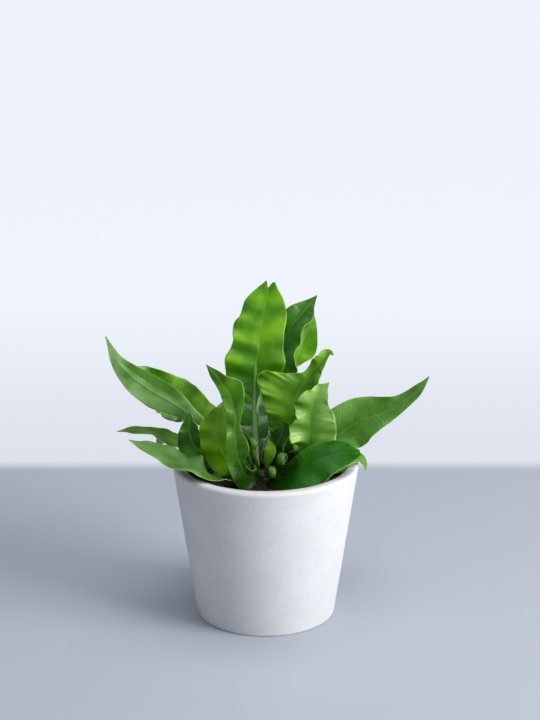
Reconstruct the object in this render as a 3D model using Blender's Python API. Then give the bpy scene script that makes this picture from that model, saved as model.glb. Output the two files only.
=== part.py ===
"""A bird's nest fern with wavy fronds, growing in a plain, round, tapered pot.

The origin is the centre of the pot's underside. +Z is up and -Y is the side that the plant is seen from.
"""
from math import cos, pi, radians, sin, sqrt

import bmesh
import bpy
import numpy as np

MM = 0.001
GAP = 0.0003                  # clearance between pieces that touch

POT_HEIGHT = 0.128
POT_TOP_RADIUS = 0.075
POT_FOOT_RADIUS = 0.056
POT_WALL = 0.0095
POT_FLOOR = 0.012
RIM_ROUND = 0.0028
FOOT_ROUND = 0.0018
POT_SIDES = 72

SOIL_TOP = 0.115
SOIL_DOME = 0.0015            # how far the soil rises from the wall to the crown
POCKET_RADIUS = 0.013         # the hole in the soil that the crown grows from
POCKET_DEPTH = 0.012

CROWN_TOP = 0.1185

BLADE = 0.0007                # leaf thickness at the edge
RIB = 0.0016                  # leaf thickness along the midrib and in the stalk
BLADE_COLUMNS = 4
STALK_HALF_WIDTH = 3.0        # millimetres: any narrower and a frond is stalk, with no fold or ruffles
BLADE_HALF_WIDTH = 9.0        # any wider and it is blade, with all of them
NARROWEST = 0.4               # the tip's half width
PLEAT_SLANT = 0.12            # how much of a ruffle's length it leans back by the edge
PLEAT_UNEVEN = 0.02           # how unevenly the ruffles are spaced, as a share of the frond's length
PLEAT_SLIDE = 0.25            # how far the edge moves along as it moves up, against the ruffle's height
NOTCH_WIDTH = 0.4             # half the width of the split in a tip, against the half width there

COIL_SIDES = 2                # bevel resolution of the young coiled fronds
COIL_TURNS = 1.15
COIL_SHRINK = 0.62            # how much of its radius a coil loses from its outside to its inner end
STEM_THICK = (1.3, 0.3)       # a stem's radius at its foot and what it gains by the crook, in millimetres
COIL_THICK = (1.6, -0.5)      # the coil's own radius at the crook and what it gains by its inner end

LEAF_GREEN = (0.10, 0.27, 0.02, 1.0)
BRIGHT_GREEN = (0.20, 0.40, 0.06, 1.0)
DEEP_GREEN = (0.03, 0.13, 0.015, 1.0)

# Lengths are in millimetres and angles in degrees.
# route: the midrib from its base on the crown to its tip.
# left, right: the width from the midrib to each edge, evenly spaced from base to tip.
# face, tilt: the compass bearing (0 is -Y, 90 is +X) and the height of what the upper side looks at.
# fold, curl: how far each half rises at the midrib, and how much more it bends by its edge.
# waves, high, start: the number, height and phase of the ruffles, for the left and the right half.
# root: how near the midrib the ruffles begin; a lower number brings them closer to it.
# notch: how deep the tip is split. rows: the number of faces along the blade.
# fold and high take one value, one for each half, or a row of values from base to tip for each half.
FRONDS = {
    "frond_tall_centre": {
        "route": ((-7, 9, 120.5), (-8, 10, 145), (-9, 13, 175), (-8, 18, 199), (-4, 26, 230),
                  (3, 37, 268)),
        "left": (1.9, 1.9, 1.8, 1.8, 1.8, 1.8, 1.8, 1.8, 1.9, 3, 11, 22, 24, 25, 25, 22, 20.5, 22, 22,
                 18.5, 17.5, 16.5, 13, 8, 3),
        "right": (1.9, 1.8, 1.8, 1.8, 1.9, 6, 20, 23, 20, 19, 19, 14, 5),
        "tilt": 12, "fold": 6, "curl": -10, "waves": (8, 6.5), "high": ((0, 0, 0, 0, 2, 3.6, 4, 3.8,
        3.2, 2.2, 1.2, 0.5, 0.2), (0, 0, 0, 0, 2, 3, 3, 2.4, 1.8, 1.4, 1, 0.5, 0.2)), "start": (0, 0.4),
        "notch": 5, "root": 0.65, "rows": 36},
    "frond_back_right": {
        "route": ((-1, 13, 120.5), (5, 22, 140), (9, 31, 162), (10, 38, 185), (12, 44, 207),
                  (18, 49, 221), (29, 54, 235), (42, 60, 250)),
        "left": (1.5, 1.2, 1.2, 4, 14, 15, 14, 11, 0.5),
        "right": (1.5, 1.2, 1.2, 4, 17, 18, 14, 10, 0.5),
        "face": -25, "tilt": 15, "fold": 18, "waves": 6, "high": 3, "start": (0.2, 0.6),
        "colour": DEEP_GREEN},
    "frond_far_right": {
        "route": ((6, 12, 120), (11, 38, 150), (17, 56, 174), (25, 68, 192), (32, 76, 209),
                  (37, 80, 220), (40, 83, 230)),
        "left": (1.5, 1.2, 1.2, 1.2, 1.2, 3, 13, 9, 0.5),
        "right": (1.5, 1.2, 1.2, 1.2, 1.2, 1.2, 13, 9.5, 0.5),
        "face": 10, "tilt": 15, "fold": 10, "waves": 6, "high": 2.5, "start": (0.5, 0.1)},
    "frond_ruffled_right": {
        "route": ((5, 3, 121), (13, 4, 140), (19, 5, 161), (22, 6, 174), (25, 7, 182), (29, 8, 189),
                  (34, 9, 196), (40, 10, 204), (46, 10, 211), (51, 9, 216), (54, 7, 215)),
        "left": (1.5, 5, 10, 15, 19.5, 26, 34, 9, 5, 9, 0.5),
        "right": (1.5, 4, 10, 16, 18, 18, 17, 13, 8, 3.5, 0.5),
        "face": -5, "tilt": 20, "fold": ((10, 10, 10, 10, 12, 14, 20, 50, 60), 10), "waves": (8, 4),
        "high": ((0, 1, 1.6, 1.6, 1.6, 1.8, 2.2, 2.4, 1, 0.8, 0), 3), "start": (0.2, 0.3), "rows": 28,
        "colour": BRIGHT_GREEN},
    "frond_bright_right": {
        "route": ((10, -4, 120), (19, -7, 128), (28, -9, 137), (33, -11, 146), (34, -13, 158),
                  (35, -14, 171), (38, -14, 184), (44, -13, 192), (50, -12, 198)),
        "left": (1.5, 1.5, 2, 7, 15, 17, 13.5, 13, 13, 7, 0.5),
        "right": (1.5, 1.5, 2, 8, 21, 22, 21.5, 19.5, 15, 7.5, 0.5),
        "face": 8, "tilt": 15, "fold": 14, "waves": (5, 3), "high": (5, 2), "start": (0.1, 0.3),
        "colour": BRIGHT_GREEN},
    "frond_long_right": {
        "route": ((12, 2, 119.5), (31, 8, 129), (52, 10, 142), (65, 12, 151), (76, 12, 158),
                  (98, 10, 167), (115, 8, 179), (124, 6, 189), (130, 4, 198)),
        "left": (1.5, 2, 5, 14, 20, 20, 17, 12, 7, 4.5, 0.5),
        "right": (1.5, 2, 5, 12, 17, 19, 15, 8.5, 5.5, 4, 0.5),
        "face": 8, "tilt": 30, "fold": 12, "waves": 3, "high": 2},
    "frond_front_right": {
        "route": ((5, -15, 118.5), (13, -25, 122), (27, -34, 130), (43, -31, 140), (59, -25, 143),
                  (75, -19, 142)),
        "left": (3, 10, 14, 14, 14, 12, 3),
        "right": (3, 6, 14, 18, 16, 12, 3),
        "face": 5, "tilt": 52, "fold": 4, "waves": 2.5, "high": 1.5, "rows": 18, "colour": DEEP_GREEN},
    "frond_rim_right": {
        "route": ((14, -8, 117.5), (31, -12, 120), (52, -13, 127), (67, -9, 133), (75, -5, 133),
                  (79.5, -4, 128), (80.5, -3, 121)),
        "left": (1.5, 4, 7, 7, 6, 5, 0.5),
        "right": (1.5, 4, 7, 7, 6, 5, 0.5),
        "face": 20, "tilt": 60, "fold": 10, "waves": 4, "high": 1.5, "rows": 18},
    "frond_front_left": {
        "route": ((-10, -12, 119), (-21, -13, 126), (-31, -19, 135), (-37, -25, 152), (-38, -27, 171),
                  (-37, -25, 182)),
        "left": (2.5, 4, 12, 14.5, 14, 13, 3),
        "right": (2.5, 6, 13, 16, 15, 13, 3),
        "face": -8, "tilt": 15, "fold": 5, "waves": 4, "high": 2, "colour": BRIGHT_GREEN},
    "frond_ruffled_front": {
        "route": ((-3, -17, 119), (-15, -33, 128), (-21, -40, 142), (-24, -42, 161), (-24, -38, 180),
                  (-28, -33, 194), (-37, -28, 207), (-46, -26, 217)),
        "left": (2, 5, 11, 11, 10, 9, 8, 7, 6.5, 7, 7, 6, 5, 4, 0.5),
        "right": (2, 4, 10, 6, 4, 9, 11, 7, 4, 6, 11, 13, 7, 3.5, 0.5),
        "face": 5, "tilt": 12, "fold": 14, "waves": (5, 6), "high": (2.5, 3.5), "start": (0, 0),
        "rows": 30},
    "frond_rim_left": {
        "route": ((-15.5, -9, 117.2), (-27.5, -27, 120.6), (-40, -36, 128), (-55, -37, 135),
                  (-74, -31, 140), (-91, -24, 147), (-108, -19, 153)),
        "left": (1.3, 5.5, 11, 13, 16, 14, 13, 9, 0.5),
        "right": (1.5, 3, 6, 10, 13, 15, 15, 9, 0.5),
        "face": 0, "tilt": 88, "fold": 8, "waves": (4, 5), "high": ((2, 2, 1.5, 1, 0.6), (1, 2.5, 4.5,
        4.5, 1.5, 0.8, 0.5)), "start": (0.3, 0.86)},
    "frond_narrow_left": {
        "route": ((-17, 0, 117.5), (-35, 6, 125), (-54, 8, 132), (-75, 8, 143), (-94, 6, 151),
                  (-109, 5, 153), (-119, 4, 152)),
        "left": (1.5, 2, 7, 11, 12, 11, 8, 0.5),
        "right": (1.5, 2, 7, 11, 12, 11, 8, 0.5),
        "tilt": 85, "fold": 5, "waves": 3, "high": 1.5, "rows": 18, "colour": DEEP_GREEN},
    "frond_inner_left": {
        "route": ((-13, -5, 119), (-28, -9, 129), (-46, -11, 137), (-57, -11, 146), (-61, -8, 158),
                  (-60, -5, 172)),
        "left": (1.5, 2, 5, 12, 13, 7, 0.5),
        "right": (1.5, 3, 9, 13, 13, 8, 0.5),
        "face": -20, "tilt": 20, "fold": 10, "waves": 4, "high": 2.5, "rows": 20, "colour": DEEP_GREEN},
    "frond_long_left": {
        "route": ((-12, 3, 120), (-24, 2, 137), (-40, 1, 152), (-56, 0, 164), (-74, -2, 178),
                  (-91, -6, 190), (-104, -9, 201), (-116, -11, 215), (-125, -12, 236)),
        "left": (1.5, 1.5, 1.5, 1.5, 4, 11, 13, 12, 9, 4, 0.5),
        "right": (1.5, 1.5, 2, 3, 6, 10, 12, 11, 8, 4, 0.5),
        "face": -10, "tilt": 10, "fold": -12, "waves": 2, "high": 1, "rows": 20,
        "colour": BRIGHT_GREEN},
    "frond_broad_left": {
        "route": ((-12, 10, 120), (-25, 16, 137), (-43, 22, 152), (-61, 24, 166), (-79, 23, 177),
                  (-94, 19, 190), (-111, 14, 205)),
        "left": (1.5, 1.5, 3, 6, 13, 19, 17, 13, 0.5),
        "right": (1.5, 2, 8, 12, 15, 18, 16, 9, 0.5),
        "face": -10, "tilt": 30, "fold": 15, "waves": (5, 4), "high": (4, 3)},
    "frond_young_dark": {
        "route": ((4, -3, 121), (7, -6, 140), (12, -7, 151), (14, -6, 160), (8, -2, 163)),
        "left": (1.5, 3, 7, 8, 6, 0.5),
        "right": (1.5, 3, 7, 8, 6, 0.5),
        "face": -20, "tilt": 20, "fold": 20, "waves": 3, "high": 1.5, "rows": 16, "colour": DEEP_GREEN},
    "frond_young_wavy": {
        "route": ((0, -9, 120), (2, -11, 133), (4, -12, 143), (2, -11, 151)),
        "left": (1.2, 2, 4, 5, 0.5),
        "right": (1.2, 2, 4, 4, 0.5),
        "face": 10, "tilt": 20, "fold": 15, "waves": 3, "high": 1.2, "rows": 14,
        "colour": BRIGHT_GREEN},
    "frond_back_centre": {
        "route": ((-5, 16, 119.5), (-7, 34, 142), (-7, 50, 156), (-5, 64, 164), (-4, 78, 164)),
        "left": (1.5, 5, 14, 18, 15, 0.5),
        "right": (1.5, 5, 12, 14, 12, 0.5),
        "tilt": 30, "fold": 12, "waves": 4, "high": 2.5, "start": (0.2, 0.7), "rows": 16},
    "frond_behind_right": {
        "route": ((10, 10, 119.5), (17, 36, 136), (27, 56, 148), (34, 72, 156), (38, 86, 157)),
        "left": (1.5, 4, 14, 17, 13, 0.5),
        "right": (1.5, 4, 13, 16, 12, 0.5),
        "face": 15, "tilt": 40, "fold": 12, "waves": 4, "high": 2.5, "start": (0.4, 0.1), "rows": 16},
    "frond_behind_left": {
        "route": ((-11, 15, 118.5), (-19, 40, 134), (-28, 62, 143), (-36, 80, 148), (-41, 94, 144)),
        "left": (1.5, 4, 13, 16, 12, 0.5),
        "right": (1.5, 4, 14, 17, 12, 0.5),
        "face": -15, "tilt": 40, "fold": 12, "waves": 4, "high": 2.5, "start": (0.6, 0.3), "rows": 16},
    "frond_arching_back": {
        "route": ((-2, 20, 117.5), (-8, 45, 131), (-14, 75, 138), (-18, 100, 132), (-20, 122, 114)),
        "left": (1.5, 5, 14, 17, 13, 0.5),
        "right": (1.5, 5, 14, 17, 13, 0.5),
        "face": 180, "tilt": 75, "fold": 10, "waves": 4, "high": 2.5, "start": (0.1, 0.6), "rows": 16},
    "frond_arching_right": {
        "route": ((7, 18, 117.5), (20, 44, 129), (33, 72, 136), (42, 96, 130), (47, 116, 114)),
        "left": (1.5, 5, 14, 17, 13, 0.5),
        "right": (1.5, 5, 14, 17, 13, 0.5),
        "face": 150, "tilt": 75, "fold": 10, "waves": 4, "high": 2.5, "start": (0.5, 0.2), "rows": 16},
    "frond_arching_left": {
        "route": ((-17, 10, 117.5), (-40, 24, 130), (-62, 38, 136), (-80, 50, 131), (-92, 61, 118)),
        "left": (1.5, 5, 14, 16, 12, 0.5),
        "right": (1.5, 5, 14, 16, 12, 0.5),
        "face": 200, "tilt": 75, "fold": 10, "waves": 4, "high": 2.5, "start": (0.3, 0.8), "rows": 16},
    "frond_low_right": {
        "route": ((15, 8, 118), (35, 27, 128), (57, 39, 137), (77, 48, 144), (97, 54, 151)),
        "left": (1.5, 4, 13, 16, 11, 0.5),
        "right": (1.5, 4, 13, 16, 11, 0.5),
        "face": 20, "tilt": 65, "fold": 12, "waves": 4, "high": 2.5, "start": (0.8, 0.4), "rows": 16},
}

# Young fronds still coiled up: the foot of the stem, the top of the crook, the coil's size and its bearing.
COILS = {
    "coiled_frond_centre": {"foot": (-6, -7, 120.5), "top": (-12, -14, 149), "radius": 4.8, "bearing": 20},
    "coiled_frond_right": {"foot": (9, -9, 119.5), "top": (14.5, -20, 138), "radius": 5.0, "bearing": -20},
    "coiled_frond_front": {"foot": (2, -12, 118.5), "top": (4, -23, 128), "radius": 4.4, "bearing": 10},
}


def material(name, colour, roughness):
    made = bpy.data.materials.get(name) or bpy.data.materials.new(name)
    made.use_nodes = True
    shader = made.node_tree.nodes["Principled BSDF"]
    shader.inputs["Base Color"].default_value = colour
    shader.inputs["Roughness"].default_value = roughness
    shader.inputs["Metallic"].default_value = 0.0
    return made


def add_object(name, data, surface):
    made = bpy.data.objects.new(name, data)
    bpy.context.scene.collection.objects.link(made)
    data.materials.append(surface)
    return made


def rounded(corner, before, after, radius, steps=4):
    """The arc that rounds a corner of a turned profile, between its two neighbours."""
    corner, before, after = np.array(corner), np.array(before), np.array(after)
    to_before = (before - corner) / np.linalg.norm(before - corner)
    to_after = (after - corner) / np.linalg.norm(after - corner)
    half_angle = 0.5 * np.arccos(np.dot(to_before, to_after))
    bisector = (to_before + to_after) / np.linalg.norm(to_before + to_after)
    centre = corner + bisector * radius / sin(half_angle)
    start = corner + to_before * radius / np.tan(half_angle) - centre
    end = corner + to_after * radius / np.tan(half_angle) - centre
    sweep = pi - 2 * half_angle
    points = []
    for step in range(steps + 1):
        share = step / steps
        arm = start * sin((1 - share) * sweep) / sin(sweep) + end * sin(share * sweep) / sin(sweep)
        points.append(tuple(centre + arm))
    return points


def turned(name, profile, surface, sides=POT_SIDES):
    """Spin a closed (radius, height) outline, whose ends are on the axis, into one solid."""
    mesh = bmesh.new()
    start = mesh.verts.new((profile[0][0], 0, profile[0][1]))
    edges = []
    for radius, height in profile[1:]:
        end = mesh.verts.new((radius, 0, height))
        edges.append(mesh.edges.new((start, end)))
        start = end
    bmesh.ops.spin(mesh, geom=mesh.verts[:] + edges, axis=(0, 0, 1), cent=(0, 0, 0), angle=2 * pi,
                   steps=sides, use_merge=True)
    bmesh.ops.remove_doubles(mesh, verts=mesh.verts, dist=1e-6)
    bmesh.ops.recalc_face_normals(mesh, faces=mesh.faces)
    data = bpy.data.meshes.new(name)
    mesh.to_mesh(data)
    mesh.free()
    data.shade_smooth()
    data.set_sharp_from_angle(angle=radians(40))
    return add_object(name, data, surface)


def wall_radius(height, inset=0.0):
    """The pot's tapered outer radius at a height, less an inset."""
    return POT_FOOT_RADIUS + (POT_TOP_RADIUS - POT_FOOT_RADIUS) * height / POT_HEIGHT - inset


def pot():
    foot, top = (POT_FOOT_RADIUS, 0), (POT_TOP_RADIUS, POT_HEIGHT)
    inner_top = (POT_TOP_RADIUS - POT_WALL, POT_HEIGHT)
    inner_floor = (wall_radius(POT_FLOOR, POT_WALL), POT_FLOOR)
    profile = [(0, 0)]
    profile += rounded(foot, (0, 0), top, FOOT_ROUND, 3)
    profile += rounded(top, foot, inner_top, RIM_ROUND)
    profile += rounded(inner_top, top, inner_floor, RIM_ROUND)
    profile += rounded(inner_floor, inner_top, (0, POT_FLOOR), 2 * FOOT_ROUND, 3)
    profile.append((0, POT_FLOOR))
    return turned("pot", profile, material("pot", (0.72, 0.73, 0.75, 1.0), 0.75))


def soil():
    """The root ball: it fills the pot below the rim, with a pocket where the crown grows."""
    clearance = POT_WALL + 1.5 * GAP
    bottom = POT_FLOOR + GAP
    profile = [
        (0, bottom),
        (wall_radius(bottom, clearance) - 2 * FOOT_ROUND, bottom),
        (wall_radius(bottom + 2 * FOOT_ROUND, clearance), bottom + 2 * FOOT_ROUND),
        (wall_radius(SOIL_TOP - SOIL_DOME, clearance), SOIL_TOP - SOIL_DOME),
        (0.6 * POT_TOP_RADIUS, SOIL_TOP - 0.3 * SOIL_DOME),
        (0.3 * POT_TOP_RADIUS, SOIL_TOP),
        (POCKET_RADIUS, SOIL_TOP),
        (POCKET_RADIUS, SOIL_TOP - POCKET_DEPTH),
        (0, SOIL_TOP - POCKET_DEPTH),
    ]
    return turned("potting_soil", profile, material("soil", (0.05, 0.032, 0.02, 1.0), 0.95), sides=48)


def crown():
    """The short, scaly rootstock that every frond grows from."""
    waist = POCKET_RADIUS - GAP
    foot = SOIL_TOP - POCKET_DEPTH + GAP
    profile = [(0, foot), (waist, foot), (waist, SOIL_TOP + GAP)]
    steps = 5
    for step in range(1, steps + 1):
        turn = 0.5 * pi * step / steps
        profile.append((waist * cos(turn), SOIL_TOP + GAP + (CROWN_TOP - SOIL_TOP - GAP) * sin(turn)))
    profile[-1] = (0, CROWN_TOP)
    return turned("rhizome_crown", profile, material("crown", (0.06, 0.05, 0.02, 1.0), 0.85), sides=24)


def smooth_route(points, count):
    """A centripetal Catmull-Rom curve through the points, as evenly spaced positions."""
    knots = np.array(points, float)
    knots = np.vstack([2 * knots[0] - knots[1], knots, 2 * knots[-1] - knots[-2]])
    pieces = []
    for i in range(1, len(knots) - 2):
        a, b, c, d = knots[i - 1:i + 3]
        t1 = sqrt(np.linalg.norm(b - a))
        t2 = t1 + sqrt(np.linalg.norm(c - b))
        t3 = t2 + sqrt(np.linalg.norm(d - c))
        t = np.linspace(t1, t2, 40, endpoint=False)[:, None]
        ab = a + (b - a) * t / t1
        bc = b + (c - b) * (t - t1) / (t2 - t1)
        cd = c + (d - c) * (t - t2) / (t3 - t2)
        abc = ab + (bc - ab) * t / t2
        bcd = bc + (cd - bc) * (t - t1) / (t3 - t1)
        pieces.append(abc + (bcd - abc) * (t - t1) / (t2 - t1))
    line = np.vstack(pieces + [knots[-2:-1]])
    walked = np.concatenate([[0], np.cumsum(np.linalg.norm(np.diff(line, axis=0), axis=1))])
    stations = np.linspace(0, walked[-1], count)
    return np.stack([np.interp(stations, walked, line[:, axis]) for axis in range(3)], axis=1)


def along(values, s):
    """A smooth value at each share s of the frond's length, through evenly spaced values."""
    knots = np.atleast_1d(np.array(values, float))
    if len(knots) == 1:
        return np.full_like(s, knots[0])
    knots = np.concatenate([knots[:1], knots, knots[-1:]])
    place = s * (len(knots) - 3)
    i = np.minimum(place.astype(int), len(knots) - 4)
    t = place - i
    a, b, c, d = knots[i], knots[i + 1], knots[i + 2], knots[i + 3]
    return b + 0.5 * t * (c - a + t * (2 * a - 5 * b + 4 * c - d + t * (3 * (b - c) + d - a)))


def ramp(low, high, value):
    t = np.clip((value - low) / (high - low), 0, 1)
    return t * t * (3 - 2 * t)


def per_half(value):
    """A frond's setting as one for the left half and one for the right half."""
    return value if isinstance(value, tuple) and len(value) == 2 else (value, value)


def frond_sheet(frond, rows, columns):
    """The points of a frond's middle surface, in millimetres: rows along it, columns across it."""
    line = smooth_route(frond["route"], rows)
    s = np.linspace(0, 1, rows)
    ahead = np.gradient(line, axis=0)
    ahead /= np.linalg.norm(ahead, axis=1)[:, None]
    bearing, height = radians(frond.get("face", 0)), radians(frond.get("tilt", 40))
    looks_at = np.array([sin(bearing) * cos(height), -cos(bearing) * cos(height), sin(height)])
    upper = looks_at - (ahead @ looks_at)[:, None] * ahead
    upper /= np.linalg.norm(upper, axis=1)[:, None]
    aside = np.cross(ahead, upper)
    notch = frond.get("notch", 0) * ramp(0.8, 1.0, s)
    sheet = np.zeros((rows, columns, 3))
    for column, across in enumerate(np.linspace(-1, 1, columns)):
        half = 0 if across < 0 else 1
        reach = abs(across)
        width = np.maximum(along((frond["left"], frond["right"])[half], s), NARROWEST)
        is_blade = ramp(STALK_HALF_WIDTH, BLADE_HALF_WIDTH, width)
        start = frond.get("start", (0, 0.5))[half]
        fold = np.radians(along(per_half(frond.get("fold", 0))[half], s)) * is_blade
        bend = np.radians(frond.get("curl", 0)) * is_blade + 1e-6
        outward = width * (np.sin(fold + bend * reach) - np.sin(fold)) / bend
        lift = width * (np.cos(fold) - np.cos(fold + bend * reach)) / bend
        count = per_half(frond["waves"])[half]
        uneven = PLEAT_UNEVEN * np.sin(9 * s + 5 * start)
        phase = 2 * pi * (count * (s + uneven) - PLEAT_SLANT * reach + start)
        swell = along(per_half(frond["high"])[half], s) * is_blade * reach ** frond.get("root", 1.2)
        ruffle = swell * np.sin(phase)
        outward = outward - ruffle * np.sin(fold + bend * reach)
        lift = lift + ruffle * np.cos(fold + bend * reach)
        slide = PLEAT_SLIDE * swell * np.cos(phase) - notch * np.exp(-(across / NOTCH_WIDTH) ** 2)
        hand = -1 if across < 0 else 1
        sheet[:, column] = (line + aside * (hand * outward)[:, None] + upper * lift[:, None]
                            + ahead * slide[:, None])
    return sheet


def frond(name, settings):
    """A leaf blade with its midrib and stalk: a curved sheet, thicker along the middle."""
    rows = settings.get("rows", 24)
    sheet = frond_sheet(settings, rows + 1, BLADE_COLUMNS + 1) * MM
    mesh = bmesh.new()
    bmesh.ops.create_grid(mesh, x_segments=rows, y_segments=BLADE_COLUMNS, size=1)
    weights = []
    for vert in mesh.verts:
        row = round((vert.co.x + 1) / 2 * rows)
        column = round((vert.co.y + 1) / 2 * BLADE_COLUMNS)
        weights.append(1 - abs(vert.co.y) if row > rows // 8 else 1.0)
        vert.co = sheet[row, column]
    data = bpy.data.meshes.new(name)
    mesh.to_mesh(data)
    mesh.free()
    data.shade_smooth()
    colour = settings.get("colour", LEAF_GREEN)
    made = add_object(name, data, material(name, colour, 0.4))
    rib = made.vertex_groups.new(name="rib")
    for index, weight in enumerate(weights):
        rib.add([index], weight, "REPLACE")
    shell = made.modifiers.new("Solidify", "SOLIDIFY")
    shell.thickness = RIB
    shell.offset = 0
    shell.vertex_group = rib.name
    shell.thickness_vertex_group = BLADE / RIB
    return made


def coiled_frond(name, settings):
    """A young frond: a stem that rises to a crook and curls into a flat coil."""
    foot, top = np.array(settings["foot"], float), np.array(settings["top"], float)
    bearing = radians(settings["bearing"])
    outward = np.array([sin(bearing), -cos(bearing), 0])
    up = np.array([0, 0, 1.0])
    radius = settings["radius"]
    stem_steps, coil_steps = 8, 20
    points, sizes = [], []
    for step in range(stem_steps):
        share = step / stem_steps
        sway = share * share * (3 - 2 * share)
        points.append(foot + (top - foot) * np.array([sway, sway, share]))
        sizes.append(STEM_THICK[0] + STEM_THICK[1] * share)
    for step in range(coil_steps + 1):
        share = step / coil_steps
        turn = 2 * pi * COIL_TURNS * share
        arm = radius * (1 - COIL_SHRINK * share)
        points.append(top + outward * (radius - arm * cos(turn)) + up * arm * sin(turn))
        sizes.append(COIL_THICK[0] + COIL_THICK[1] * share)
    curve = bpy.data.curves.new(name, "CURVE")
    curve.dimensions = "3D"
    curve.bevel_depth = MM
    curve.bevel_resolution = COIL_SIDES
    curve.use_fill_caps = True
    spline = curve.splines.new("POLY")
    spline.points.add(len(points) - 1)
    for place, point, size in zip(spline.points, points, sizes):
        place.co = (*(point * MM), 1)
        place.radius = size
    return add_object(name, curve, material(name, DEEP_GREEN, 0.35))


def build():
    for old in list(bpy.data.objects):
        bpy.data.objects.remove(old, do_unlink=True)
    pot()
    soil()
    crown()
    for name, settings in FRONDS.items():
        frond(name, settings)
    for name, settings in COILS.items():
        coiled_frond(name, settings)


build()
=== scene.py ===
# %% [markdown]
# # A wavy bird's nest fern in a plain pot
# The plant is a rosette: every frond grows from one short rootstock, in the middle of the soil.
# The frame holds simple solids at the real size. This lesson gives each of them its living shape
# and its finish, and then sets up a studio for the portrait.

from math import cos, pi, radians, sin, sqrt

import bmesh
import bpy
import numpy as np
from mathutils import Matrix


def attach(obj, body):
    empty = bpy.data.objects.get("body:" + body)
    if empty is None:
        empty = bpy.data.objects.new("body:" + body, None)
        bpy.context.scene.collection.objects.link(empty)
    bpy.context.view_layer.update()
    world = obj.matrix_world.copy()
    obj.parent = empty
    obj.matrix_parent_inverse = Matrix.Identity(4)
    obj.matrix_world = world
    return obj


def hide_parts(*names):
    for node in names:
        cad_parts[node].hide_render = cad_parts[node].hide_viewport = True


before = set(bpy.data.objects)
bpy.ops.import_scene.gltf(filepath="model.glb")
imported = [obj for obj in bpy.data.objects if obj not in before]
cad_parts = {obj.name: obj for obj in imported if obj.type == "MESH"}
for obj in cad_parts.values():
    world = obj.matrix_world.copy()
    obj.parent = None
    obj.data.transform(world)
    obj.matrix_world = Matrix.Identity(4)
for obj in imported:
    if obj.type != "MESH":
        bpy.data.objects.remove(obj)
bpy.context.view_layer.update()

# %% Measures that every piece shares, in metres
MM = 0.001
POT_HEIGHT = 0.128
POT_TOP_RADIUS = 0.075
POT_FOOT_RADIUS = 0.056
POT_WALL = 0.0095
POT_FLOOR = 0.012
SOIL_TOP = 0.115
CROWN_RADIUS = 0.0127
CROWN_TOP = 0.1185
print("pot", POT_HEIGHT, "m high")

# %% [markdown]
# ## Writing materials as sums
# A procedural material is a web of small nodes. Added by hand, each node takes several lines.
# So one class wraps a socket: arithmetic on it adds Math nodes, and `node` adds any other kind.


# %% A socket that does arithmetic
class Signal:
    """An output socket of a material. Sums with it become Math nodes."""

    def __init__(self, tree, socket=None):
        self.tree = tree
        self.socket = socket

    def node(self, kind, settings=(), sockets=(), output=0):
        """Add a node: its settings come first, then a value or a link for each socket."""
        made = self.tree.nodes.new("ShaderNode" + kind)
        for setting, value in dict(settings).items():
            setattr(made, setting, value)
        for name, value in dict(sockets).items():
            if isinstance(value, Signal):
                self.tree.links.new(value.socket, made.inputs[name])
            else:
                made.inputs[name].default_value = value
        return Signal(self.tree, made.outputs[output])

    def math(self, operation, *values):
        return self.node("Math", {"operation": operation}, enumerate(values))

    def __add__(self, other):
        return self.math("ADD", self, other)

    def __radd__(self, other):
        return self.math("ADD", other, self)

    def __sub__(self, other):
        return self.math("SUBTRACT", self, other)

    def __rsub__(self, other):
        return self.math("SUBTRACT", other, self)

    def __mul__(self, other):
        return self.math("MULTIPLY", self, other)

    def __rmul__(self, other):
        return self.math("MULTIPLY", other, self)

    def __truediv__(self, other):
        return self.math("DIVIDE", self, other)

    def __abs__(self):
        return self.math("ABSOLUTE", self)

    def band(self, low, high):
        """0 below low, 1 above high and smooth between them; low may be the larger one."""
        rising = low < high
        ends = (low, high) if rising else (high, low)
        return self.node("MapRange", {"interpolation_type": "SMOOTHSTEP"},
                         {"Value": self, "From Min": ends[0], "From Max": ends[1],
                          "To Min": 0.0 if rising else 1.0, "To Max": 1.0 if rising else 0.0})

    def blend(self, first, second):
        """The colour between two colours, with this signal as the share of the second."""
        return self.node("Mix", {"data_type": "RGBA"}, {0: self, 6: first, 7: second}, output=2)

    def noise(self, size, detail=2.0, roughness=0.5):
        """Cloudy noise over this vector, with lumps about this many metres across."""
        return self.node("TexNoise", (), {"Vector": self, "Scale": 1.0 / size, "Detail": detail,
                                          "Roughness": roughness})


# %% Start and finish a material
def new_material(name):
    made = bpy.data.materials.new(name)
    made.use_nodes = True
    return made, Signal(made.node_tree)


def finish_material(made, colour, roughness, height=None, relief=0.0, constants=()):
    """Feed the shader: links for what varies, plain numbers for what is the same all over."""
    nodes = made.node_tree.nodes
    shader = nodes["Principled BSDF"]
    links = made.node_tree.links
    for name, value in (("Base Color", colour), ("Roughness", roughness)):
        if isinstance(value, Signal):
            links.new(value.socket, shader.inputs[name])
        else:
            shader.inputs[name].default_value = value
    if height is not None:
        bump = height.node("Bump", (), {"Height": height, "Distance": relief, "Strength": 1.0})
        links.new(bump.socket, shader.inputs["Normal"])
    for name, value in dict(constants).items():
        shader.inputs[name].default_value = value
    return made


def paint(red, green, blue):
    """A colour given in screen values, 0 to 255, as the linear values that a shader takes."""
    shares = [value / 255 for value in (red, green, blue)]
    return (*[v / 12.92 if v <= 0.04045 else ((v + 0.055) / 1.055) ** 2.4 for v in shares], 1.0)


# %% Add a finished piece
def add_piece(name, data, surface, node):
    made = bpy.data.objects.new(name, data)
    bpy.context.scene.collection.objects.link(made)
    data.materials.append(surface)
    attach(made, "root")
    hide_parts(node)
    return made


def applied(data):
    """The mesh that an object with these modifiers or this curve gives."""
    graph = bpy.context.evaluated_depsgraph_get()
    return bpy.data.meshes.new_from_object(data.evaluated_get(graph))


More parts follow.
